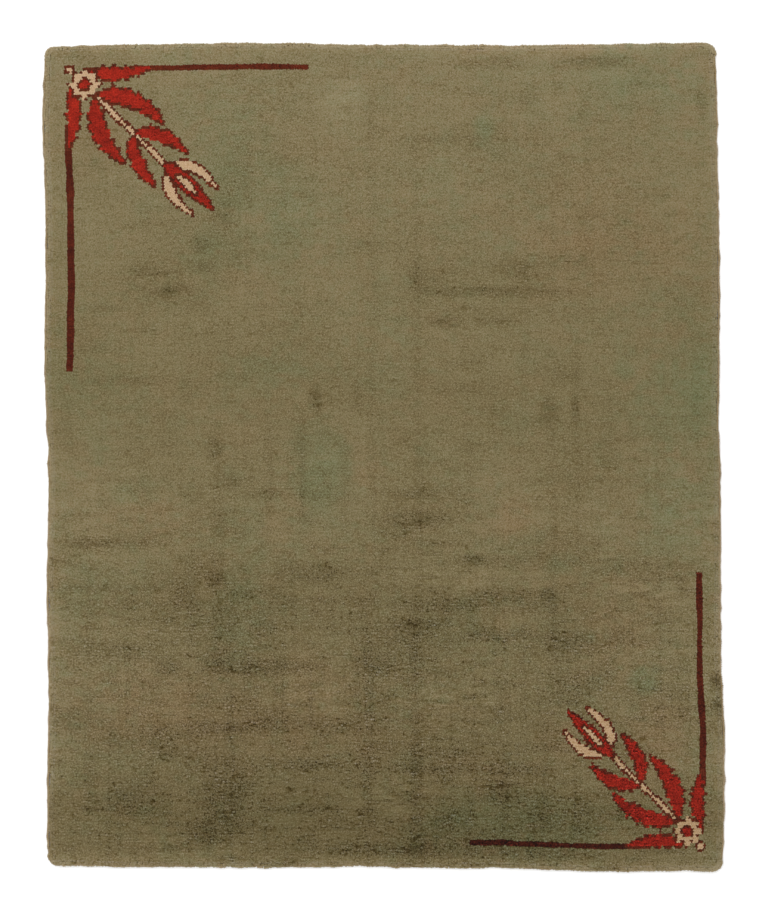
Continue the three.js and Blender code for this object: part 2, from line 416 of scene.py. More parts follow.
# The grain of single tufts: at the head, what the foot adds, and how much calmer it is at the sides.
# Where the nap lies dark, its tufts stand apart, so the grain grows by a share per unit of shade, from
# the least to the most shade that counts.
HEAD_GRAIN = 0.97
FOOT_GRAIN = 0.72
SIDE_CALM = 0.15
SHADOW_GRAIN = 0.07
COUNTED_SHADE = (-4.0, 12.0)

# Knots overlap like shingles: the upper tuft of each catches light and the lower one is shaded
SHINGLE_DEPTH = 1.2
SHINGLE_CHANCE = 2.8
SHINGLE_LENGTH = 0.0070

# Wool in shade looks warmer: its blue falls faster than its green, and its red slower. The power of
# each channel is given for broad shade, and for the deep small shadows between tufts and fibres.
BROAD_POWER = (0.90, 1.00, 1.40)
SMALL_POWER = (0.84, 1.00, 1.67)

# The plants and lines follow the painted light and shade of the field around them by this share. No tone
# goes past the first two limits, and no tuft's own share of it past the second two.
MOTIF_FOLLOWS = 0.55
TONE_LIMITS = (60.0, 160.0)
TUFT_LIMITS = (0.6, 1.4)

# How strongly grain shows in the cream and in the dark wools, against the field's: first from tuft to
# tuft, then in the fibres. The dark wools also took their dye unevenly.
CREAM_GRAIN = (0.22, 0.58)
DARK_GRAIN = (1.35, 2.05)
DARK_MOTTLE = 0.09
MOTTLE_CELL = 0.016

# %% Painted shade marks of the nap, and folds
# Painted shade marks where the nap leans: middle across and along, half size across and along, and depth
# in tone. A depth below nothing is a place of painted light.
NAP_SHADE_MARKS = [
    (0.833, -0.56, 0.015, 0.02, 21), (0.833, -0.627, 0.014, 0.02, 21), (0.67, -0.33, 0.09, 0.035, -7),
    (0.02, -0.86, 0.1, 0.045, -7), (0.22, -0.31, 0.17, 0.025, -5), (0.15, -0.615, 0.1, 0.028, -6),
    (-0.15, -0.615, 0.08, 0.03, -6), (-0.1, 0.89, 0.05, 0.045, -6), (-0.49, -0.975, 0.09, 0.03, -6),
    (0.13, -0.75, 0.11, 0.02, 7), (-0.62, -0.72, 0.08, 0.045, 5), (-0.38, -0.45, 0.1, 0.05, 5),
    (0.28, 0.993, 0.09, 0.016, 8), (0.55, 0.993, 0.08, 0.015, 11), (0.37, 0.9, 0.03, 0.02, 7),
    (0.81, 0.89, 0.013, 0.035, 8), (0.17, 0.8, 0.11, 0.012, 7), (0.1, 0.775, 0.045, 0.03, 4),
    (-0.36, 0.7, 0.04, 0.06, 5), (-0.4, 0.61, 0.033, 0.035, 8), (-0.46, 0.53, 0.024, 0.02, 10),
    (-0.37, 0.52, 0.05, 0.05, 4), (-0.25, 0.545, 0.06, 0.035, 4), (-0.57, 0.465, 0.055, 0.012, 10),
    (-0.45, 0.475, 0.025, 0.014, 8), (-0.54, 0.415, 0.055, 0.018, 12), (-0.58, 0.44, 0.12, 0.05, 4),
    (-0.71, 0.373, 0.05, 0.012, 6), (-0.63, 0.19, 0.12, 0.013, 7), (0.09, 0.455, 0.022, 0.035, 7),
    (0.13, 0.45, 0.022, 0.018, 6), (0.29, 0.416, 0.17, 0.013, 12), (0.34, 0.475, 0.07, 0.024, 8),
    (0.47, 0.49, 0.05, 0.02, 6), (0.16, 0.34, 0.04, 0.016, 10), (0.28, 0.343, 0.05, 0.013, 7),
    (0.21, 0.234, 0.05, 0.013, 6), (0.24, 0.17, 0.1, 0.018, 6), (0.42, 0.115, 0.024, 0.035, 10),
    (0.486, 0.123, 0.01, 0.03, 11), (0.44, 0.21, 0.06, 0.025, 5), (-0.165, 0.141, 0.016, 0.03, 12),
    (-0.06, 0.149, 0.014, 0.03, 8), (-0.81, 0.07, 0.02, 0.025, 7), (-0.43, 0.015, 0.019, 0.03, 8),
    (-0.38, -0.073, 0.02, 0.015, 10), (-0.3, -0.098, 0.05, 0.012, 7), (0.06, -0.093, 0.065, 0.014, 8),
    (0.075, -0.16, 0.065, 0.02, 16), (0.17, -0.11, 0.055, 0.05, 6), (0.48, -0.06, 0.05, 0.018, 6),
    (0.4, -0.216, 0.11, 0.025, 4), (-0.75, -0.22, 0.05, 0.014, 15), (-0.65, -0.219, 0.08, 0.012, 9),
    (-0.7, -0.335, 0.12, 0.012, 7), (-0.68, -0.373, 0.12, 0.014, 6), (-0.45, -0.3, 0.045, 0.035, 7),
    (-0.55, -0.32, 0.05, 0.04, 5), (-0.494, -0.373, 0.035, 0.025, 8), (-0.428, -0.315, 0.02, 0.02, 12),
    (-0.33, -0.348, 0.06, 0.012, 9), (-0.18, -0.3, 0.09, 0.022, 10), (-0.24, -0.4, 0.14, 0.035, 4),
    (0.64, -0.28, 0.1, 0.03, 6), (0.222, -0.262, 0.035, 0.014, 12), (0.32, -0.262, 0.06, 0.014, 6),
    (0.14, -0.375, 0.09, 0.017, 12), (0.3, -0.35, 0.08, 0.02, 9), (0.4, -0.375, 0.09, 0.02, 5),
    (0.413, -0.35, 0.02, 0.02, 12), (0.1, -0.423, 0.06, 0.013, 10), (0.03, -0.44, 0.09, 0.03, 5),
    (0.28, -0.449, 0.09, 0.014, 11), (0.47, -0.464, 0.06, 0.028, 13), (0.6, -0.451, 0.05, 0.02, 6),
    (-0.73, -0.5, 0.1, 0.03, 5), (-0.54, -0.534, 0.026, 0.015, 11), (-0.43, -0.525, 0.035, 0.03, 10),
    (-0.31, -0.534, 0.11, 0.018, 15), (-0.02, -0.534, 0.05, 0.022, 8), (0.05, -0.49, 0.08, 0.035, 5),
    (0.5, -0.56, 0.08, 0.03, 7), (-0.4, -0.685, 0.035, 0.014, 10), (-0.28, -0.675, 0.06, 0.02, 8),
    (-0.43, -0.6, 0.09, 0.05, 5), (-0.5, -0.69, 0.12, 0.02, 8), (-0.17, -0.68, 0.12, 0.03, 4),
    (-0.21, -0.78, 0.1, 0.014, 9), (0.34, -0.79, 0.08, 0.018, 8), (0.11, -0.79, 0.12, 0.012, 8),
    (-0.635, -0.87, 0.07, 0.04, 10), (-0.41, -0.87, 0.05, 0.085, 10), (-0.45, -0.96, 0.03, 0.025, 8),
    (-0.57, -0.77, 0.16, 0.05, 4), (-0.2, -0.892, 0.11, 0.011, 8), (0.34, -0.862, 0.09, 0.02, 6),
    (0.585, -0.892, 0.06, 0.018, 9), (0.489, -0.905, 0.03, 0.045, 9), (0.4, -0.91, 0.05, 0.03, 7),
    (0.16, -0.912, 0.045, 0.03, 6), (0.16, -0.94, 0.24, 0.035, 4), (-0.48, -0.945, 0.05, 0.025, 7),
    (0.08, -0.98, 0.03, 0.03, 9), (-0.05, -0.995, 0.12, 0.018, 9), (0.32, -0.993, 0.18, 0.02, 9),
    (-0.77, -0.67, 0.06, 0.03, 5),
]

# Painted shade along upright fold lines: place across, lowest and highest point, half width, depth in tone
FOLDS = [
    (-0.023, -0.26, 1.00, 0.011, 3.2), (0.086, -0.26, 1.00, 0.011, 3.4), (0.519, 0.32, 1.00, 0.011, 2.4),
    (0.489, -0.36, 0.32, 0.011, 3.2), (0.358, 0.14, 0.54, 0.011, 2.2), (-0.207, -0.22, 0.14, 0.009, 7.0),
    (-0.101, -0.22, 0.14, 0.009, 2.6), (-0.418, -0.59, 0.14, 0.014, 5.0), (0.426, -0.61, 0.14, 0.012, 4.8),
    (-0.385, -1.01, -0.55, 0.018, 6.0), (-0.045, -1.01, -0.40, 0.014, 8.0),
    (0.075, -1.01, -0.33, 0.014, 10.0), (0.295, -1.01, -0.51, 0.012, 3.6),
    (0.398, -1.01, -0.51, 0.012, 3.2), (-0.287, -0.22, 0.14, 0.009, 4.2),
]
print(len(NAP_SHADE_MARKS), "marks and", len(FOLDS), "folds")

# %% Patches of dye and the pale rim
# Patches where the dye is greener, then browner: middle, half size, strength
MOSS_PATCHES = [
    (0.26, 0.83, 0.025, 0.04, 0.8), (-0.37, 0.75, 0.09, 0.14, 0.4), (-0.23, 0.58, 0.055, 0.12, 0.4),
    (-0.36, 0.56, 0.11, 0.15, 0.2), (-0.16, -0.03, 0.07, 0.11, 0.6), (0.73, 0.20, 0.11, 0.19, 0.4),
    (0.80, 0.17, 0.04, 0.11, 0.35), (0.75, -0.11, 0.09, 0.15, 0.2), (0.65, 0.96, 0.15, 0.09, 0.35),
    (0.45, -0.27, 0.035, 0.03, 0.4), (0.33, -0.93, 0.24, 0.07, 0.5), (-0.36, -0.40, 0.07, 0.16, 0.25),
    (-0.75, -0.33, 0.09, 0.06, 0.25), (0.25, -0.43, 0.10, 0.07, 0.25), (0.65, -0.56, 0.035, 0.03, 0.75),
    (-0.58, 0.87, 0.02, 0.02, 0.55), (0.04, 0.31, 0.045, 0.03, 0.35), (-0.73, 0.18, 0.11, 0.15, 0.2),
    (-0.31, 0.22, 0.15, 0.045, 0.2), (0.61, 0.22, 0.025, 0.02, 0.45),
]
RUST_PATCHES = [
    (0.55, 0.56, 0.21, 0.16, 0.5), (0.52, 0.54, 0.09, 0.03, 0.4), (-0.73, 0.85, 0.10, 0.11, 0.6),
    (-0.05, -0.03, 0.035, 0.05, 0.6), (-0.59, -0.17, 0.13, 0.045, 0.6), (0.33, -0.15, 0.04, 0.05, 0.7),
    (0.59, -0.39, 0.08, 0.08, 0.45), (-0.60, -0.63, 0.18, 0.09, 0.65), (-0.25, -0.68, 0.30, 0.09, 0.35),
    (-0.16, -0.56, 0.08, 0.08, 0.5), (0.69, -0.72, 0.08, 0.10, 0.9), (0.45, -0.72, 0.10, 0.08, 0.3),
]

# The dye's own unevenness: the cells of each noise, its seed, and its share in green and in brown
DYE_NOISE = [(0.018, 0.013, 43, 0.09, -0.09), (0.055, 0.045, 44, 0.06, -0.06),
             (0.120, 0.100, 41, 0.06, 0.00), (0.100, 0.060, 42, 0.00, 0.08)]

# The pale rim is painted light, where the pile opens over the edge and catches it: how much lighter the
# pile is at the very edge, and how far in that fades. Its tufts are rubbed alike, which calms their grain.
# Its wool is sunned, which adds to red and takes from blue.
RIM_LIFTS = {"left": (17.0, 0.011), "right": (9.0, 0.010), "head": (14.5, 0.014), "foot": (34.0, 0.019)}
RIM_CALM = 0.8
CALM_REACH = 0.010
RIM_WARMTH = np.array([0.09, 0.0, -0.11])
WARM_REACH = 0.016
print(len(MOSS_PATCHES), "greener and", len(RUST_PATCHES), "browner patches")

# %% Shades of the nap
SPOT_FALL = 0.7
FOOT_BEGINS = 0.3
FOOT_FADE = 0.9
DARK_SHADE_GAIN = 1.3
PALE_LIGHT_GAIN = 0.75


def patch(across, along, middle_x, middle_y, half_x, half_y):
    """A soft oval spot: one at its middle, and fading past its half sizes."""
    away = ((across - middle_x) / half_x) ** 2 + ((along - middle_y) / half_y) ** 2
    return np.exp(-SPOT_FALL * away**1.5)


def rim_distance(across, along):
    """How far points lie in from the nearest edge of the rug, as woven."""
    edge = np.minimum(WIDTH / 2 - np.abs(across), LENGTH / 2 - np.abs(along))
    overhang = corner_overhang(across, along, 0.0)
    return np.clip(np.where(overhang > -CORNER_RADIUS, np.minimum(edge, -overhang), edge), 0.0, None)


def to_foot(along):
    """Nothing in the rug's upper part, and all of it near the foot, where the painted shade and the grain are
    stronger.
    """
    return eased((FOOT_BEGINS - along) / FOOT_FADE)


def skewed_dark(shade_noise):
    """Painted shade shows more as dark spots than as pale ones."""
    return np.where(shade_noise < 0.0, DARK_SHADE_GAIN * shade_noise, PALE_LIGHT_GAIN * shade_noise)


def broken_up(shade_noise, even, by_streak, by_thread, by_speckle, least, most):
    """How strongly a mark shows at each point, where streaks, threads and speckles break it up."""
    shares = even + by_streak * shade_noise["streak"] + by_thread * shade_noise["thread"] + by_speckle * shade_noise["speckle"]
    return np.clip(shares, least, most)


def nap_shade(across, along, lower, wandering):
    """How much the nap's painted light and shade lightens or darkens each point, from even noise to the marks
    and folds.
    """
    shade_noise, strength = {}, {}
    for name, (wave_across, wave_along, seed, at_head, to_add) in NAP_SHADE_NOISE.items():
        line = wandering if name in ("thread", "speckle") else along
        shade_noise[name] = soft_noise(across, line, wave_across, wave_along, seed)
        strength[name] = at_head + to_add * lower
    shade = skewed_dark(strength["patch"] * shade_noise["patch"])
    shade += skewed_dark(sum(strength[name] * shade_noise[name] for name in ("streak", "thread", "speckle")))
    shade += strength["cloud"] * shade_noise["cloud"] + strength["upright"] * shade_noise["upright"]
    breakup = broken_up(shade_noise, *MARK_BREAKUP)
    for middle_x, middle_y, half_x, half_y, depth in NAP_SHADE_MARKS:
        shade -= depth * breakup * patch(across, along, middle_x, middle_y, half_x, half_y)
    breakup = broken_up(shade_noise, *FOLD_BREAKUP)
    for middle_x, low, high, half_width, depth in FOLDS:
        span = eased((along - low) / FOLD_FADE) * eased((high - along) / FOLD_FADE)
        shade -= depth * breakup * span * np.exp(-SPOT_FALL * ((across - middle_x) / half_width) ** 2)
    return shade


# %% Tone of every tuft
def pile_tone(across, along, seed):
    """Screen brightness of the field's wool with the nap's painted light and shade, what each tuft adds to
    it, and how strong the grain is.
    """
    rng = np.random.default_rng(seed)
    lower = to_foot(along)
    wandering = along + ROW_WANDER * soft_noise(across, along, *WANDER_CELL, 39)
    even = along_table(FIELD_TONE, along) + SIDE_LIFT * lower * (np.abs(across) / (WIDTH / 2)) ** 2
    shade = nap_shade(across, along, lower, wandering)
    upper = np.where(np.floor((along + half_along) / tuft_along) % 2 > 0, 1.0, -1.0)
    ledge = SHINGLE_DEPTH + SHINGLE_CHANCE * soft_noise(across, along, SHINGLE_LENGTH, KNOT_ALONG, 38)
    single = TUFT_SHAKE * (1.0 - rng.exponential(1.0, len(across))) + upper * ledge
    dash = soft_noise(across, wandering, DASH_LENGTH, KNOT_ALONG / 2, 35)
    single -= DASH_DEPTH * np.clip(dash - DASH_RARITY, 0.0, DASH_MOST)
    rubbed = np.exp(-rim_distance(across, along) / CALM_REACH)
    grain = (HEAD_GRAIN + FOOT_GRAIN * lower**2) * (1.0 + SHADOW_GRAIN * np.clip(-shade, *COUNTED_SHADE))
    grain *= (1.0 - SIDE_CALM * (across / WIDTH * 2) ** 2) * (1.0 - RIM_CALM * rubbed)
    return even + shade, grain * skewed_dark(single), grain


def rim_lift(across, along):
    """Painted light of the pile that opens over each edge and catches the light."""
    inwards = {"left": across + WIDTH / 2, "right": WIDTH / 2 - across,
               "foot": along + LENGTH / 2, "head": LENGTH / 2 - along}
    return sum(lift * np.exp(-np.maximum(inwards[edge], 0.0) / fade)
               for edge, (lift, fade) in RIM_LIFTS.items())


def patched(across, along, patches):
    """The strength of all patches of one kind at each point."""
    return sum(strength * patch(across, along, middle_x, middle_y, half_x, half_y)
               for middle_x, middle_y, half_x, half_y, strength in patches)


def dyed(colour, across, along, field):
    """Greener and browner patches of the field's own dye."""
    moss, rust = patched(across, along, MOSS_PATCHES), patched(across, along, RUST_PATCHES)
    for wave_across, wave_along, seed, in_moss, in_rust in DYE_NOISE:
        uneven = soft_noise(across, along, wave_across, wave_along, seed)
        moss += in_moss * uneven
        rust += in_rust * uneven
    green, brown = (np.clip(share, 0.0, 1.2)[:, None] * field[:, None] for share in (moss, rust))
    return colour + (MOSS - FIELD_OLIVE) * green + (RUST_BROWN - FIELD_OLIVE) * brown


def tuft_wool(across, along, seed):
    """The wool of tufts at these places: the chart, the dye's patches, and the tone over both, which paints
    the nap's light and shade.

    It also gives the tone by itself, and how strongly the fibres' grain shows."""
    colour = chart(across, along)
    field = (colour == FIELD_OLIVE).all(axis=1)
    tone, single, grain = pile_tone(across, along, seed)
    # Painted light of the pale rim, on the field's wool only
    tone += rim_lift(across, along) * field
    pale = (colour == CREAM).all(axis=1)
    follows = SCREEN_GAMMA * np.where(field, 1.0, MOTIF_FOLLOWS)[:, None]
    shows = SCREEN_GAMMA * np.where(field, 1.0, np.where(pale, CREAM_GRAIN[0], DARK_GRAIN[0]))[:, None]
    grain = grain * np.where(field, 1.0, np.where(pale, CREAM_GRAIN[1], DARK_GRAIN[1]))
    broad = (np.clip(tone, *TONE_LIMITS) / REFERENCE_TONE)[:, None] ** (follows * BROAD_POWER)
    small = np.clip(1.0 + single / tone, *TUFT_LIMITS)[:, None] ** (shows * SMALL_POWER)
    mottle = DARK_MOTTLE * soft_noise(across, along, MOTTLE_CELL, MOTTLE_CELL, 45) * ~(field | pale)
    small *= (1.0 + mottle)[:, None]
    sunned = np.exp(-(rim_distance(across, along) / WARM_REACH) ** 2) * field
    warmth = 1.0 + RIM_WARMTH * sunned[:, None]
    return dyed(colour, across, along, field) * broad * small * warmth, tone + single, grain


pile_wool_colour, pile_tones, pile_grain = tuft_wool(woven_x, woven_y, SEED)
print("tone of the pile from", round(float(pile_tones.min())), "to", round(float(pile_tones.max())))

# %% [markdown]
# A small kit for node trees
#
# Shader trees and geometry trees are both built by adding nodes and linking sockets. One helper does
# both for either kind: it adds a node, sets its options, and fills its inputs with plain values or
# with the outputs of earlier nodes. Written this way, a tree reads from top to bottom like a recipe.


# %% Helpers for node trees
def put(tree, kind, inputs=None, output=None, **options):
    """Adds a node and returns its output socket, the first one unless another is named."""
    node = tree.nodes.new(kind)
    for key, value in options.items():
        setattr(node, key, value)
    for key, value in (inputs or {}).items():
        sockets = [s for s in node.inputs if s.enabled and s.name == key]
        socket = node.inputs[key] if isinstance(key, int) else sockets[0]
        if isinstance(value, bpy.types.NodeSocket):
            tree.links.new(value, socket)
        else:
            socket.default_value = value
    outputs = [s for s in node.outputs if s.enabled and output in (None, s.name)]
    return outputs[0]


def maths(tree, operation, *operands):
    """A Math node on numbers. Multiply Add gives its first operand times its second, plus its third."""
    return put(tree, "ShaderNodeMath", dict(enumerate(operands)), operation=operation)


def vector_maths(tree, operation, *operands):
    return put(tree, "ShaderNodeVectorMath", dict(enumerate(operands)), operation=operation)


def join_vector(tree, x=0.0, y=0.0, z=0.0):
    return put(tree, "ShaderNodeCombineXYZ", {"X": x, "Y": y, "Z": z})


# %% [markdown]
# How a wool shader is made
#
# Wool scatters light in all directions, so it is rough with almost no shine, and its loose fibres
# catch light at grazing angles, which is what the sheen layer does. The colour comes from the knot
# itself, as an attribute that rides on the mesh. Fine noise in the object's own space stands for the
# fibres, and it drives both the colour and the bump so that they agree.


# %% Helpers for wool shaders
def new_wool(name, roughness, sheen):
    """A cloth material. Values that are the same all over are set on the shader's own sockets."""
    material = bpy.data.materials.new(name)
    material.use_nodes = True
    shader = material.node_tree.nodes["Principled BSDF"]
    shader.inputs["Roughness"].default_value = roughness
    shader.inputs["Specular IOR Level"].default_value = 0.15
    shader.inputs["Sheen Weight"].default_value = sheen
    shader.inputs["Sheen Roughness"].default_value = 0.5
    return material, material.node_tree, shader


def fibre_noise(tree, scale, detail, stretch=(1.0, 1.0, 1.0)):
    """Noise in the object's own space, squeezed along an axis by a stretch over one."""
    space = put(tree, "ShaderNodeTexCoord", output="Object")
    fitted = put(tree, "ShaderNodeMapping", {"Vector": space, "Scale": stretch})
    return put(tree, "ShaderNodeTexNoise", {"Vector": fitted, "Scale": scale, "Detail": detail})


def own_value(tree, name):
    return put(tree, "ShaderNodeAttribute", output="Fac", attribute_name=name)


def own_colour(tree, name):
    return put(tree, "ShaderNodeAttribute", output="Color", attribute_name=name)


def remap(tree, value, given, wanted):
    """Turns one range of a value into another, and holds it at the new range's ends."""
    return put(tree, "ShaderNodeMapRange", {
        "Value": value, "From Min": given[0], "From Max": given[1], "To Min": wanted[0], "To Max": wanted[1]})


def deepened(tree, colour, shade):
    """Multiplies a colour by a shade, and makes it deeper as it gets darker."""
    safe = maths(tree, "MAXIMUM", shade, 0.05)
    channels = (maths(tree, "POWER", safe, power) for power in SMALL_POWER)
    return vector_maths(tree, "MULTIPLY", colour, join_vector(tree, *channels))


def finish_wool(tree, shader, colour, shades, height, relief):
    """Multiplies a colour by all its shades, and lets a height raise fibres by a relief in metres."""
    shade = shades[0]
    for other in shades[1:]:
        shade = maths(tree, "MULTIPLY", shade, other)
    tree.links.new(deepened(tree, colour, shade), shader.inputs["Base Color"])
    normal = put(tree, "ShaderNodeBump", {"Height": height, "Distance": relief})
    tree.links.new(normal, shader.inputs["Normal"])


# %% [markdown]
# The wool of the pile
#
# Three things vary inside one tuft. Its root is dark, because little light gets down there and the
# fibres are packed. Its tip is open and pale. And each tuft takes the dye a little differently. The
# first two read the attribute "tip" and the third reads "luck". Both are made with the tufts, and a
# third attribute, "grain", says how strongly fibres and luck show there.

# %% Pile material
pile_wool, tree, shader = new_wool("pile_wool", roughness=0.93, sheen=0.06)
fibres = fibre_noise(tree, scale=640.0, detail=1.0, stretch=(0.42, 1.0, 0.60))
contrast = own_value(tree, "grain")
between_fibres = remap(tree, fibres, (0.22, 0.54), (-0.58, 0.11))
fibre_shade = maths(tree, "MULTIPLY_ADD", between_fibres, contrast, 1.0)
by_luck = remap(tree, own_value(tree, "luck"), (0.0, 1.0), (-0.05, 0.05))
luck_shade = maths(tree, "MULTIPLY_ADD", by_luck, contrast, 1.0)
shades = [remap(tree, own_value(tree, "tip"), (0.25, 0.90), (0.66, 1.02)), luck_shade, fibre_shade]
finish_wool(tree, shader, own_colour(tree, "wool"), shades, fibres, relief=0.0010)
print("pile material has", len(tree.nodes), "nodes")

# %% [markdown]
# Recipes for what repeats
#
# A geometry tree is a recipe, and its inputs are the sizes a maker would change. A modifier runs it,
# with each value set by its socket's identifier, and the finished result is turned into a plain mesh,
# because the rug should be handed on as real geometry and not as instances.


# %% Helpers for geometry trees
def new_recipe(name, sizes):
    """A geometry tree with one geometry input and a named number input for each size."""
    tree = bpy.data.node_groups.new(name, "GeometryNodeTree")
    tree.interface.new_socket("Geometry", in_out="INPUT", socket_type="NodeSocketGeometry")
    for size_name, value in sizes.items():
        kind = "NodeSocketInt" if isinstance(value, int) else "NodeSocketFloat"
        tree.interface.new_socket(size_name, in_out="INPUT", socket_type=kind).default_value = value
    tree.interface.new_socket("Geometry", in_out="OUTPUT", socket_type="NodeSocketGeometry")
    return tree, tree.nodes.new("NodeGroupInput").outputs


def end_recipe(tree, geometry, material):
    smooth = put(tree, "GeometryNodeSetShadeSmooth", {"Geometry": geometry})
    finished = put(tree, "GeometryNodeSetMaterial", {"Geometry": smooth, "Material": material})
    tree.links.new(finished, tree.nodes.new("NodeGroupOutput").inputs["Geometry"])
    print(tree.name, "has", len(tree.nodes), "nodes")
    return tree


def chance(tree, given, shift, low=0.0, high=1.0):
    """A random value for each point. The shift gives each use its own numbers."""
    kind = "FLOAT_VECTOR" if isinstance(low, tuple) else "FLOAT"
    seed = maths(tree, "ADD", given["Seed"], float(shift))
    return put(tree, "FunctionNodeRandomValue", {"Min": low, "Max": high, "Seed": seed}, data_type=kind)


def store(tree, geometry, name, value):
    return put(tree, "GeometryNodeStoreNamedAttribute",
               {"Geometry": geometry, "Name": name, "Value": value}, data_type="FLOAT", domain="POINT")


def read(tree, name, kind="FLOAT"):
    return put(tree, "GeometryNodeInputNamedAttribute", {"Name": name}, data_type=kind)


def joined(tree, upper, lower):
    both = tree.nodes.new("GeometryNodeJoinGeometry")
    tree.links.new(upper, both.inputs["Geometry"])
    tree.links.new(lower, both.inputs["Geometry"])
    return both.outputs[0]


def run_recipe(piece, tree, values):
    """Runs a recipe on an object and leaves its result as the object's plain mesh."""
    modifier = piece.modifiers.new("recipe", "NODES")
    modifier.node_group = tree
    for item in tree.interface.items_tree:
        if item.in_out == "INPUT" and item.name in values:
            modifier[item.identifier] = values[item.name]
    graph = bpy.context.evaluated_depsgraph_get()
    made = bpy.data.meshes.new_from_object(
        piece.evaluated_get(graph), preserve_all_data_layers=True, depsgraph=graph)
    piece.modifiers.remove(modifier)
    piece.data = made
    made.name = piece.name


# %% Helpers for meshes
def new_piece(name, vertices, edges=(), faces=()):
    mesh = bpy.data.meshes.new(name)
    mesh.from_pydata(vertices, edges, faces)
    piece = bpy.data.objects.new(name, mesh)
    bpy.context.scene.collection.objects.link(piece)
    return piece


def give(mesh, name, kind, values, domain="POINT"):
    field = {"FLOAT": "value", "FLOAT_VECTOR": "vector", "FLOAT_COLOR": "color"}[kind]
    layer = mesh.attributes.new(name, kind, domain)
    layer.data.foreach_set(field, np.ascontiguousarray(values, np.float32).ravel())


def opaque(colours):
    return np.concatenate([colours, np.ones((len(colours), 1))], axis=1)


def say_size(piece):
    piece.data.calc_loop_triangles()
    print(piece.name, "has", len(piece.data.loop_triangles), "triangles")


# %% [markdown]
# One tuft, tied everywhere
#
# Inside the rug only the tops of the tufts can be seen, so a tuft there is a low four-sided spike
# whose foot runs into its neighbours. That is four faces, and a rug needs two hundred thousand tufts.
# At the rim the tufts show down to the ground, so there each one is a whole lock: a four-sided stem
# that opens upwards, with a low crown. The same tree ties both. It spins each tuft by chance, leans it
# along an attribute of its place, and makes it a bit taller or shorter.

# %% Shapes of a tuft
SPIKE_SIZES = {"Radius": 0.0052, "Height": 0.0042, "Lean Spread": 0.23, "Size Spread": 0.24, "Seed": 7}
LOCK_SIZES = {"Radius": 0.0043, "Height": 0.0105, "Lean Spread": 0.16, "Size Spread": 0.12, "Seed": 90}
CROWN_SHARE = 0.24
ROOT_SHARE = 0.75
WELD_REACH = 0.0001


def open_cone(tree, foot, top, height):
    """Four sides without a floor or a lid."""
    return put(tree, "GeometryNodeMeshCone", {
        "Vertices": 4, "Radius Top": top, "Radius Bottom": foot, "Depth": height}, fill_type="NONE")


def spike(tree, given):
    return open_cone(tree, given["Radius"], 0.0, given["Height"])


def lock(tree, given):
    """A stem that widens from its root, with a low crown welded on top."""
    stem_height = maths(tree, "MULTIPLY", given["Height"], 1.0 - CROWN_SHARE)
    crown_height = maths(tree, "MULTIPLY", given["Height"], CROWN_SHARE)
    root = maths(tree, "MULTIPLY", given["Radius"], ROOT_SHARE)
    stem_mesh = open_cone(tree, root, given["Radius"], stem_height)
    crown = put(tree, "GeometryNodeTransform", {
        "Geometry": open_cone(tree, given["Radius"], 0.0, crown_height),
        "Translation": join_vector(tree, z=stem_height)})
    return put(tree, "GeometryNodeMergeByDistance", {
        "Geometry": joined(tree, crown, stem_mesh), "Distance": WELD_REACH})


# %% Tree that ties the tufts
def tying_recipe(name, sizes, shape):
    tree, given = new_recipe(name, sizes)

    # How near the tip each vertex is, for the shader
    place = put(tree, "GeometryNodeInputPosition")
    height = put(tree, "ShaderNodeSeparateXYZ", {"Vector": place}, output="Z")
    tuft = store(tree, shape(tree, given), "tip", maths(tree, "DIVIDE", height, given["Height"]))

    # Lean: the place's own, plus a little chance. Then a spin about the tuft's own axis.
    stray = chance(tree, given, 0, (-1.0, -1.0, 0.0), (1.0, 1.0, 0.0))
    spread = put(tree, "ShaderNodeVectorMath", {0: stray, "Scale": given["Lean Spread"]}, operation="SCALE")
    axis = vector_maths(tree, "ADD", read(tree, "lean", "FLOAT_VECTOR"), spread)
    leaning = put(tree, "FunctionNodeAlignRotationToVector", {"Vector": axis}, axis="Z")
    spin = put(tree, "FunctionNodeAxisAngleToRotation", {
        "Axis": (0.0, 0.0, 1.0), "Angle": chance(tree, given, 1, 0.0, math.pi / 2)})
    turned = put(tree, "FunctionNodeRotateRotation", {
        "Rotation": leaning, "Rotate By": spin}, rotation_space="LOCAL")

    # Height: the place's own, times an uneven share
    uneven = maths(tree, "MULTIPLY", chance(tree, given, 2, -0.5, 0.5), given["Size Spread"])
    tall = maths(tree, "MULTIPLY", read(tree, "tall"), maths(tree, "ADD", uneven, 1.0))
    size = join_vector(tree, 1.0, 1.0, tall)

    places = store(tree, given["Geometry"], "luck", chance(tree, given, 3))
    tied = put(tree, "GeometryNodeInstanceOnPoints", {
        "Points": places, "Instance": tuft, "Rotation": turned, "Scale": size})
    return end_recipe(tree, put(tree, "GeometryNodeRealizeInstances", {"Geometry": tied}), pile_wool)


spike_recipe = tying_recipe("tied_spikes", SPIKE_SIZES, spike)
lock_recipe = tying_recipe("tied_locks", LOCK_SIZES, lock)

# %% [markdown]
# Pile in strips
#
# A mesh of all the tufts would be too heavy to handle in one piece, so the pile is made in strips of
# rows, as a weaver would count them. The nap lies a little towards the foot of the rug. The height
# follows the lumps of the pile, and where it is dark it is pressed down a little. No tuft stands
# exactly in its place, and the border lines waver softly, but their edges stay steadier than the field.
# Each strip gets a map that looks straight down on it, so that a texture baked later has its pattern at
# an even scale.

# %% Lean, height and place of the tufts
NAP_LEAN = -0.16
LEAN_STRAY = (0.07, 0.09)
LEAN_CELLS = [(0.05, 0.02), (0.06, 0.015)]
TUFT_JITTER = (0.0009, 0.0007)
MOTIF_JITTER = 0.4
LINE_WAVER = 0.00065
WAVER_WIDTH = 0.012
WAVER_LENGTH = 0.045
HEIGHT_JITTER = 0.0005

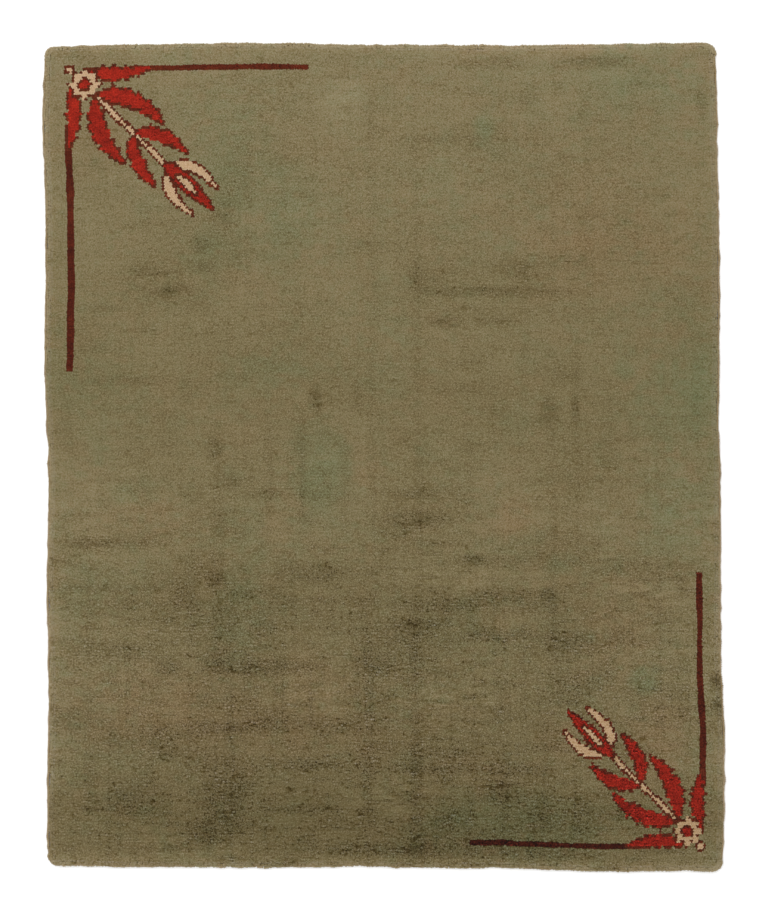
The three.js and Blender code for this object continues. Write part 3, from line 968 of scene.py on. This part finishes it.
# Each unit of tone that a tuft is darker than the first of these tones presses it down by so much, but
# no further than the second
PRESSED_TONES = (102.0, 87.0)
PRESSED_DEPTH = 0.00008

tufts = len(row)
lean = np.stack([
    LEAN_STRAY[0] * soft_noise(woven_x, woven_y, *LEAN_CELLS[0], 51),
    NAP_LEAN + LEAN_STRAY[1] * soft_noise(woven_x, woven_y, *LEAN_CELLS[1], 52),
    np.ones(tufts),
], axis=1)
waver_x, waver_y = np.zeros(tufts), np.zeros(tufts)
for corner in CORNERS:
    over, down = from_lines(corner, woven_x, woven_y)
    waver_x += (beside_line(over, down, corner["down"]["length"])
                * soft_noise(woven_x, woven_y, WAVER_WIDTH, WAVER_LENGTH, 53))
    waver_y += (beside_line(down, over, corner["over"]["length"])
                * soft_noise(woven_x, woven_y, WAVER_LENGTH, WAVER_WIDTH, 54))
rng = np.random.default_rng(SEED + 1)
steady = np.where(plain, 1.0, MOTIF_JITTER)
pile_x, pile_y = lie(woven_x + LINE_WAVER * waver_x + steady * rng.normal(0.0, TUFT_JITTER[0], tufts),
                     woven_y + LINE_WAVER * waver_y + steady * rng.normal(0.0, TUFT_JITTER[1], tufts))
pile_z = THICKNESS - SPIKE_SIZES["Height"] + lump_height(woven_x, woven_y)
pile_z += HEIGHT_JITTER * rng.uniform(-1.0, 1.0, tufts)
pile_z -= PRESSED_DEPTH * np.clip(PRESSED_TONES[0] - pile_tones, 0.0, PRESSED_TONES[0] - PRESSED_TONES[1])
print("foot of the spikes, mm:", np.round(pile_z.min() * 1e3, 1), "to", np.round(pile_z.max() * 1e3, 1))


# %% Tie the pile
STRIPS = 5
MAP_MARGIN = 0.002


def straight_down_map(piece):
    """A map of the piece as seen from above, filling the square."""
    mesh = piece.data
    places = np.empty(len(mesh.vertices) * 3, np.float32)
    mesh.vertices.foreach_get("co", places)
    flat = places.reshape(-1, 3)[:, :2]
    low, high = flat.min(axis=0), flat.max(axis=0)
    corner_vertex = np.empty(len(mesh.loops), np.int32)
    mesh.loops.foreach_get("vertex_index", corner_vertex)
    at = MAP_MARGIN + (1.0 - 2.0 * MAP_MARGIN) * (flat - low) / (high - low)
    layer = mesh.uv_layers.new(name="OFBake")
    layer.uv.foreach_set("vector", at[corner_vertex].astype(np.float32).ravel())


def tie(name, places, wools, leans, talls, grains, recipe, sizes):
    """A piece of pile: points that carry what each tuft needs, then the tufts tied on them."""
    piece = new_piece(name, places.tolist())
    give(piece.data, "wool", "FLOAT_COLOR", opaque(wools))
    give(piece.data, "lean", "FLOAT_VECTOR", leans)
    give(piece.data, "tall", "FLOAT", talls)
    give(piece.data, "grain", "FLOAT", grains)
    run_recipe(piece, recipe, sizes)
    straight_down_map(piece)
    say_size(piece)
    return piece


pile_pieces = []
for strip in range(STRIPS):
    mine = (row * STRIPS) // tuft_rows == strip
    points = np.stack([pile_x[mine], pile_y[mine], pile_z[mine]], axis=1)
    pile_pieces.append(tie(
        f"pile_strip_{strip + 1}", points, pile_wool_colour[mine], lean[mine], np.ones(mine.sum()),
        pile_grain[mine], spike_recipe, {**SPIKE_SIZES, "Seed": SPIKE_SIZES["Seed"] + 10 * strip}))

# %% [markdown]
# The rim
#
# At the rim nothing holds the outermost tufts, so they fall outwards over the hem and the side cords,
# and that is what rounds the rug's edge. The rim is walked once as a rounded rectangle. Along the
# sides the locks start further in, behind the cord, and the corners ease from one to the other.

# %% Walk round the rim
LOCK_PITCH = 0.0044
SIDE_BEGINS = 0.012

# The rim waves in and out by this much, once in so many locks. Each lock also strays from its row, by
# this much outwards and by this share of the pitch along it.
EDGE_WAVE = 0.0011
WAVE_LOCKS = 5
LOCK_STRAY = 0.0004
PITCH_STRAY = 0.3

# Rows of locks: how far in from the outline each is rooted at the ends and at the sides, the height
# of its root, how far it leans outwards, its own height as a share, how much it follows the wave, and
# a painted shade that darkens its wool to even it out with the low spikes inside
LOCK_ROWS = [
    {"end": 0.0062, "side": 0.0110, "root": 0.0022, "lean": 0.62, "tall": 0.84, "wave": 1.0, "shade": 0.93},
    {"end": 0.0104, "side": 0.0148, "root": 0.0030, "lean": 0.30, "tall": 1.00, "wave": 0.5, "shade": 0.90},
    {"end": 0.0144, "side": 0.0186, "root": 0.0036, "lean": 0.12, "tall": 1.02, "wave": 0.0, "shade": 0.88},
]


def wavy(count, every, seed):
    """Random values for a line of places, which run smoothly from one to the next."""
    knots = np.random.default_rng(seed).standard_normal(count // every + 2)
    return np.interp(np.arange(count) / every, np.arange(len(knots)), knots)


def rim_walk(pitch):
    """The points that a rounded rectangle turns about, and its directions outwards, in even steps."""
    half_x, half_y = WIDTH / 2 - CORNER_RADIUS, LENGTH / 2 - CORNER_RADIUS
    arc = CORNER_RADIUS * math.pi / 2
    starts = [(half_x, -half_y, 2 * half_y), (half_x, half_y, 2 * half_x),
              (-half_x, half_y, 2 * half_y), (-half_x, -half_y, 2 * half_x)]
    walk = []
    for quarter, (x, y, run) in enumerate(starts):
        facing = quarter * math.pi / 2
        sine, cosine = math.sin(facing), math.cos(facing)
        walk += [(x - sine * step, y + cosine * step, facing) for step in np.arange(0.0, run, pitch)]
        walk += [(x - sine * run, y + cosine * run, facing + step / CORNER_RADIUS)
                 for step in np.arange(0.0, arc, pitch)]
    x, y, facing = np.array(walk).T
    return x, y, np.cos(facing), np.sin(facing)


# %% Tie the locks of the rim
turn_x, turn_y, out_x, out_y = rim_walk(LOCK_PITCH)
lock_count = len(turn_x)
side_share = eased((LENGTH / 2 - CORNER_RADIUS - np.abs(turn_y)) / SIDE_BEGINS)
edge_wave = EDGE_WAVE * wavy(lock_count, WAVE_LOCKS, 71)
rooted, leans, talls, shades = [], [], [], []
for number, lock_row in enumerate(LOCK_ROWS):
    rng = np.random.default_rng(72 + number)
    inset = lock_row["end"] + (lock_row["side"] - lock_row["end"]) * side_share
    stray = LOCK_STRAY * rng.standard_normal(lock_count)
    reach = CORNER_RADIUS - inset + lock_row["wave"] * (edge_wave + stray)
    sideways = LOCK_PITCH * (rng.uniform(-PITCH_STRAY, PITCH_STRAY, lock_count) + 0.5 * number)
    across, along = turn_x + out_x * reach - out_y * sideways, turn_y + out_y * reach + out_x * sideways
    level = np.full(lock_count, lock_row["root"])
    rooted.append(np.stack([across, along, level], axis=1))
    leans.append(np.stack([out_x * lock_row["lean"], out_y * lock_row["lean"], np.ones(lock_count)], axis=1))
    talls.append(np.full(lock_count, lock_row["tall"]))
    shades.append(np.full(lock_count, lock_row["shade"]))
rooted, leans, talls, shades = (np.concatenate(rows) for rows in (rooted, leans, talls, shades))
rim_colour, _, rim_grain = tuft_wool(rooted[:, 0], rooted[:, 1], SEED + 5)
rim_x, rim_y = lie(rooted[:, 0], rooted[:, 1])
points = np.stack([rim_x, rim_y, rooted[:, 2]], axis=1)
# The locks' wool is darkened row by row by painted shade
pile_pieces.append(tie("rim_locks", points, rim_colour * shades[:, None], leans, talls, rim_grain,
                       lock_recipe, LOCK_SIZES))

# %% [markdown]
# The woven ground
#
# Under the pile lies the cloth that holds it: strong warps, and between the knot rows several shots of
# weft. From above it hardly shows, but the back of a rug shows every knot as a small bead, so the
# chart appears there too. The back is a grid with a colour for every face, finer towards the corners
# where the ornament is. The top is plain, and a wall all round closes the two, as the turned hem does.
# Its sides go in a little under the cords, so that no slit shows from below.

# %% Ground material
ground_wool, tree, shader = new_wool("ground_wool", roughness=0.9, sheen=0.1)
space = put(tree, "ShaderNodeTexCoord", output="Object")
beads = []
for axis, pitch in (("X", KNOT_ACROSS), ("Y", KNOT_ALONG)):
    place = put(tree, "ShaderNodeSeparateXYZ", {"Vector": space}, output=axis)
    turns = maths(tree, "MULTIPLY", place, math.pi / pitch)
    beads.append(maths(tree, "ABSOLUTE", maths(tree, "SINE", turns)))
bead = maths(tree, "MULTIPLY", *beads)
fine = fibre_noise(tree, scale=700.0, detail=2.0)
# The first shade is painted: the grooves between the beads are darkened as shade, besides their bump
shades = [remap(tree, bead, (0.0, 0.7), (0.55, 1.08)), remap(tree, fine, (0.3, 0.7), (0.82, 1.18))]
finish_wool(tree, shader, own_colour(tree, "wool"), shades, bead, relief=0.0012)
print("ground material has", len(tree.nodes), "nodes")

# %% Weave the ground
FINE_CELL = 0.0085
COARSE_CELL = 0.060
FINE_REACH = 0.43
HEM_INSET = 0.0032
GROUND_CORNER = 0.016
CORD_LAP = 0.0015
BACK_SHADE = 0.95

ground_half = (WIDTH / 2 - CORD_WIDTH + CORD_LAP, LENGTH / 2 - HEM_INSET)


def grid_lines(half):
    """Places of the grid's lines: close together near both edges, and far apart between."""
    fine_lines = np.linspace(half - FINE_REACH, half, round(FINE_REACH / FINE_CELL) + 1)
    middle_span = 2 * (half - FINE_REACH)
    middle_lines = np.linspace(-middle_span / 2, middle_span / 2, round(middle_span / COARSE_CELL) + 1)
    return np.concatenate([-fine_lines[::-1], middle_lines[1:-1], fine_lines])


def rounded(across, along):
    """Draws the grid's square corners in to an arc."""
    from_x = np.maximum(np.abs(across) - (ground_half[0] - GROUND_CORNER), 0.0)
    from_y = np.maximum(np.abs(along) - (ground_half[1] - GROUND_CORNER), 0.0)
    pull = np.maximum(from_x, from_y) / np.maximum(np.hypot(from_x, from_y), 1e-9)
    pull = np.where((from_x > 0) & (from_y > 0), pull, 1.0)
    return across - np.sign(across) * from_x * (1 - pull), along - np.sign(along) * from_y * (1 - pull)


lines_x, lines_y = grid_lines(ground_half[0]), grid_lines(ground_half[1])
columns, rows = len(lines_x), len(lines_y)
grid_x, grid_y = rounded(*(a.ravel() for a in np.meshgrid(lines_x, lines_y)))
lain_x, lain_y = lie(grid_x, grid_y)
cell = np.array([(r * columns + c, (r + 1) * columns + c, (r + 1) * columns + c + 1, r * columns + c + 1)
                 for r in range(rows - 1) for c in range(columns - 1)])

# The border runs anticlockwise seen from above. The wall rises from it, and the top closes it.
border = list(range(columns))
border += [r * columns + columns - 1 for r in range(1, rows)]
border += [(rows - 1) * columns + c for c in range(columns - 2, -1, -1)]
border += [r * columns for r in range(rows - 2, 0, -1)]
vertices = [(x, y, 0.0) for x, y in zip(lain_x, lain_y)]
top_start, around = len(vertices), len(border)
vertices += [(lain_x[i], lain_y[i], GROUND) for i in border]
wall = [(border[i], border[(i + 1) % around], top_start + (i + 1) % around, top_start + i)
        for i in range(around)]
top = [tuple(range(top_start, top_start + around))]
ground = new_piece("woven_ground", vertices, (), cell.tolist() + wall + top)

# Each face of the back takes the wool of its middle, each face of the wall that of the border's point,
# and the hidden top that of the rug's middle
middle_x = np.concatenate([grid_x[cell].mean(axis=1), grid_x[border], [0.0]])
middle_y = np.concatenate([grid_y[cell].mean(axis=1), grid_y[border], [0.0]])
back_chart = chart(middle_x, middle_y, 2 * FINE_CELL)
back_field = (back_chart == FIELD_OLIVE).all(axis=1)
back_wool = BACK_SHADE * dyed(back_chart, middle_x, middle_y, back_field)
give(ground.data, "wool", "FLOAT_COLOR", opaque(back_wool), "FACE")
ground.data.materials.append(ground_wool)
say_size(ground)

# %% [markdown]
# The overcast sides
#
# Each long side is bound by winding thick wool round the outer warps, turn beside turn. A recipe
# suits that exactly: one flattened loop of yarn, tilted a little, set at every step of a line along
# the side. A plain core inside stands for the warps, and closes the cord's two ends. The line wanders
# in and out, slowly and from turn to turn, as hand winding does.

# %% Overcast yarn material
selvage_wool, tree, shader = new_wool("selvage_wool", roughness=0.9, sheen=0.12)
strand = fibre_noise(tree, scale=700.0, detail=2.0, stretch=(0.35, 1.0, 0.35))
slow = fibre_noise(tree, scale=9.0, detail=3.0)
tan = put(tree, "ShaderNodeRGB")
tan.default_value = (*SELVAGE_TAN, 1.0)
shades = [
    remap(tree, own_value(tree, "luck"), (0.0, 1.0), (0.86, 1.10)),
    remap(tree, strand, (0.30, 0.70), (0.78, 1.20)),
    remap(tree, slow, (0.35, 0.65), (0.85, 1.12)),
]
finish_wool(tree, shader, tan, shades, strand, relief=0.0008)
print("selvage material has", len(tree.nodes), "nodes")

# %% Tree of the overcasting
WINDING_SIZES = {"Pitch": 0.0045, "Yarn Radius": 0.0021, "Tilt": 0.16, "Unevenness": 0.10, "Seed": 3}
CORE_INSET = 0.0016
CORE_STEPS = 48


def winding_recipe():
    tree, given = new_recipe("overcast_winding", WINDING_SIZES)

    # One turn of yarn: a circle squeezed to the cord's width and height, given the yarn's thickness
    circle = put(tree, "GeometryNodeCurvePrimitiveCircle", {"Resolution": 8, "Radius": 1.0}, output="Curve")
    half_width = maths(tree, "SUBTRACT", CORD_WIDTH / 2, given["Yarn Radius"])
    half_height = maths(tree, "SUBTRACT", CORD_HEIGHT / 2, given["Yarn Radius"])
    oval_loop = put(tree, "GeometryNodeTransform", {
        "Geometry": circle, "Scale": join_vector(tree, half_width, half_height, 1.0)})
    yarn = put(tree, "GeometryNodeCurvePrimitiveCircle", {
        "Resolution": 4, "Radius": given["Yarn Radius"]}, output="Curve")
    turn = put(tree, "GeometryNodeCurveToMesh", {"Curve": oval_loop, "Profile Curve": yarn})

    # A turn at every step of the side's line. It stands across the line, and is tilted a little.
    side_line = put(tree, "GeometryNodeMeshToCurve", {"Mesh": given["Geometry"]})
    steps = put(tree, "GeometryNodeResampleCurve", {
        "Curve": side_line, "Length": given["Pitch"]}, mode="LENGTH")
    places = store(tree, steps, "luck", chance(tree, given, 0))
    tangent = put(tree, "GeometryNodeInputTangent")
    face_on = put(tree, "FunctionNodeAlignRotationToVector", {"Vector": tangent}, axis="Z")
    upright = put(tree, "FunctionNodeAlignRotationToVector", {
        "Rotation": face_on, "Vector": (0.0, 0.0, 1.0)}, axis="Y", pivot_axis="Z")
    tilt = put(tree, "FunctionNodeAxisAngleToRotation", {"Axis": (0.0, 1.0, 0.0), "Angle": given["Tilt"]})
    tilted = put(tree, "FunctionNodeRotateRotation", {
        "Rotation": upright, "Rotate By": tilt}, rotation_space="LOCAL")
    slack = maths(tree, "MULTIPLY", chance(tree, given, 1, -1.0, 0.0), given["Unevenness"])
    wound = put(tree, "GeometryNodeInstanceOnPoints", {
        "Points": places, "Instance": turn, "Rotation": tilted, "Scale": maths(tree, "ADD", slack, 1.0)})
    real = put(tree, "GeometryNodeRealizeInstances", {"Geometry": wound})

    # The core, a plain closed tube inside the turns
    section = put(tree, "GeometryNodeCurvePrimitiveCircle", {
        "Resolution": 8, "Radius": CORD_HEIGHT / 2 - CORE_INSET}, output="Curve")
    core_line = put(tree, "GeometryNodeResampleCurve", {"Curve": side_line, "Count": CORE_STEPS})
    core = put(tree, "GeometryNodeCurveToMesh", {
        "Curve": core_line, "Profile Curve": section, "Fill Caps": True})
    return end_recipe(tree, joined(tree, core, real), selvage_wool)


# %% Wind the two sides
# How far the line wanders in steps of three points and of one, how far it is moved outwards on the
# whole, how many points it has, and how far it stops short of the rounded corners
SLOW_WANDER = 0.0012
QUICK_WANDER = 0.00066
CORD_SHIFT = 0.0010
CORD_POINTS = 270
CORD_STOPS_SHORT = 0.006

winding = winding_recipe()
side_pieces = []
half_run = LENGTH / 2 - CORNER_RADIUS - CORD_STOPS_SHORT
along = np.linspace(-half_run, half_run, CORD_POINTS)
for side, name in ((-1, "overcast_left"), (1, "overcast_right")):
    wander = SLOW_WANDER * wavy(CORD_POINTS, 3, 60 + side) + QUICK_WANDER * wavy(CORD_POINTS, 1, 70 + side)
    across = side * (WIDTH / 2 - CORD_WIDTH / 2 + CORD_SHIFT + wander)
    x, y = lie(across, along)
    points = [(px, py, CORD_HEIGHT / 2) for px, py in zip(x, y)]
    piece = new_piece(name, points, [(i, i + 1) for i in range(len(points) - 1)])
    run_recipe(piece, winding, {**WINDING_SIZES, "Seed": WINDING_SIZES["Seed"] + side})
    side_pieces.append(piece)
    say_size(piece)

# %% [markdown]
# Hand the pieces to the rug
#
# The measured solids carry the weight and the collision, and what was made here is what the eye
# sees. Each piece hides the solid that it stands for and moves with the rug's root: the ground and the
# pile stand for the rug's body, and the two cords for its selvages.

for piece in [ground, *pile_pieces]:
    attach(piece, "root")
    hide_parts("rug_body")
for piece, node in zip(side_pieces, ("selvage_left", "selvage_right")):
    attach(piece, "root")
    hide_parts(node)

# %% [markdown]
# Floor, light and camera
#
# The rug is looked at from straight above, the way a carpet is photographed for a catalogue. A long
# lens keeps its edges parallel. The floor and the sky are almost white, and one wide soft lamp high
# up gives the tufts a bright and a dark side without drawing a shadow.

# %% Floor
FLOOR_REACH = 12.0
FLOOR_DROP = 0.0004

floor_material = bpy.data.materials.new("pale_floor")
floor_material.use_nodes = True
floor_shader = floor_material.node_tree.nodes["Principled BSDF"]
floor_shader.inputs["Base Color"].default_value = (0.90, 0.90, 0.90, 1.0)
floor_shader.inputs["Roughness"].default_value = 0.9
floor_shader.inputs["Specular IOR Level"].default_value = 0.1
floor_corners = [(x * FLOOR_REACH, y * FLOOR_REACH, -FLOOR_DROP)
                 for x, y in ((-1, -1), (1, -1), (1, 1), (-1, 1))]
floor = new_piece("floor", floor_corners, (), [(0, 1, 2, 3)])
floor.data.materials.append(floor_material)

# %% Light
scene = bpy.context.scene
scene.view_settings.view_transform = "Standard"
world = bpy.data.worlds.new("studio")
world.use_nodes = True
sky = world.node_tree.nodes["Background"]
sky.inputs["Color"].default_value = (1.0, 1.0, 1.0, 1.0)
sky.inputs["Strength"].default_value = 1.25
scene.world = world
lamp_data = bpy.data.lights.new("soft_lamp", "AREA")
lamp_data.shape = "SQUARE"
lamp_data.size = 5.0
lamp_data.energy = 250.0
lamp = bpy.data.objects.new("soft_lamp", lamp_data)
scene.collection.objects.link(lamp)
lamp.location = (-3.2, 4.8, 6.8)
lamp.rotation_euler = lamp.location.to_track_quat("Z", "Y").to_euler()

# %% Camera
# The size of one pixel on the pile, the picture's frame, and the pixel that the rug's middle falls on
PIXEL = 0.00252
FRAME_WIDTH, FRAME_HEIGHT = 768, 914
MIDDLE_PIXEL = (383.0, 456.0)
CAMERA_HEIGHT = 10.0

camera_data = bpy.data.cameras.new("overhead")
camera = bpy.data.objects.new("overhead", camera_data)
scene.collection.objects.link(camera)
scene.camera = camera
camera_data.sensor_width = 36.0
camera_data.lens = camera_data.sensor_width * (CAMERA_HEIGHT - THICKNESS) / (PIXEL * FRAME_HEIGHT)
camera.location = (((FRAME_WIDTH - 1) / 2 - MIDDLE_PIXEL[0]) * PIXEL + CENTRING[0],
                   (MIDDLE_PIXEL[1] - (FRAME_HEIGHT - 1) / 2) * PIXEL + CENTRING[1], CAMERA_HEIGHT)
camera_data.clip_end = 50.0
print("lens, mm:", round(camera_data.lens, 1))
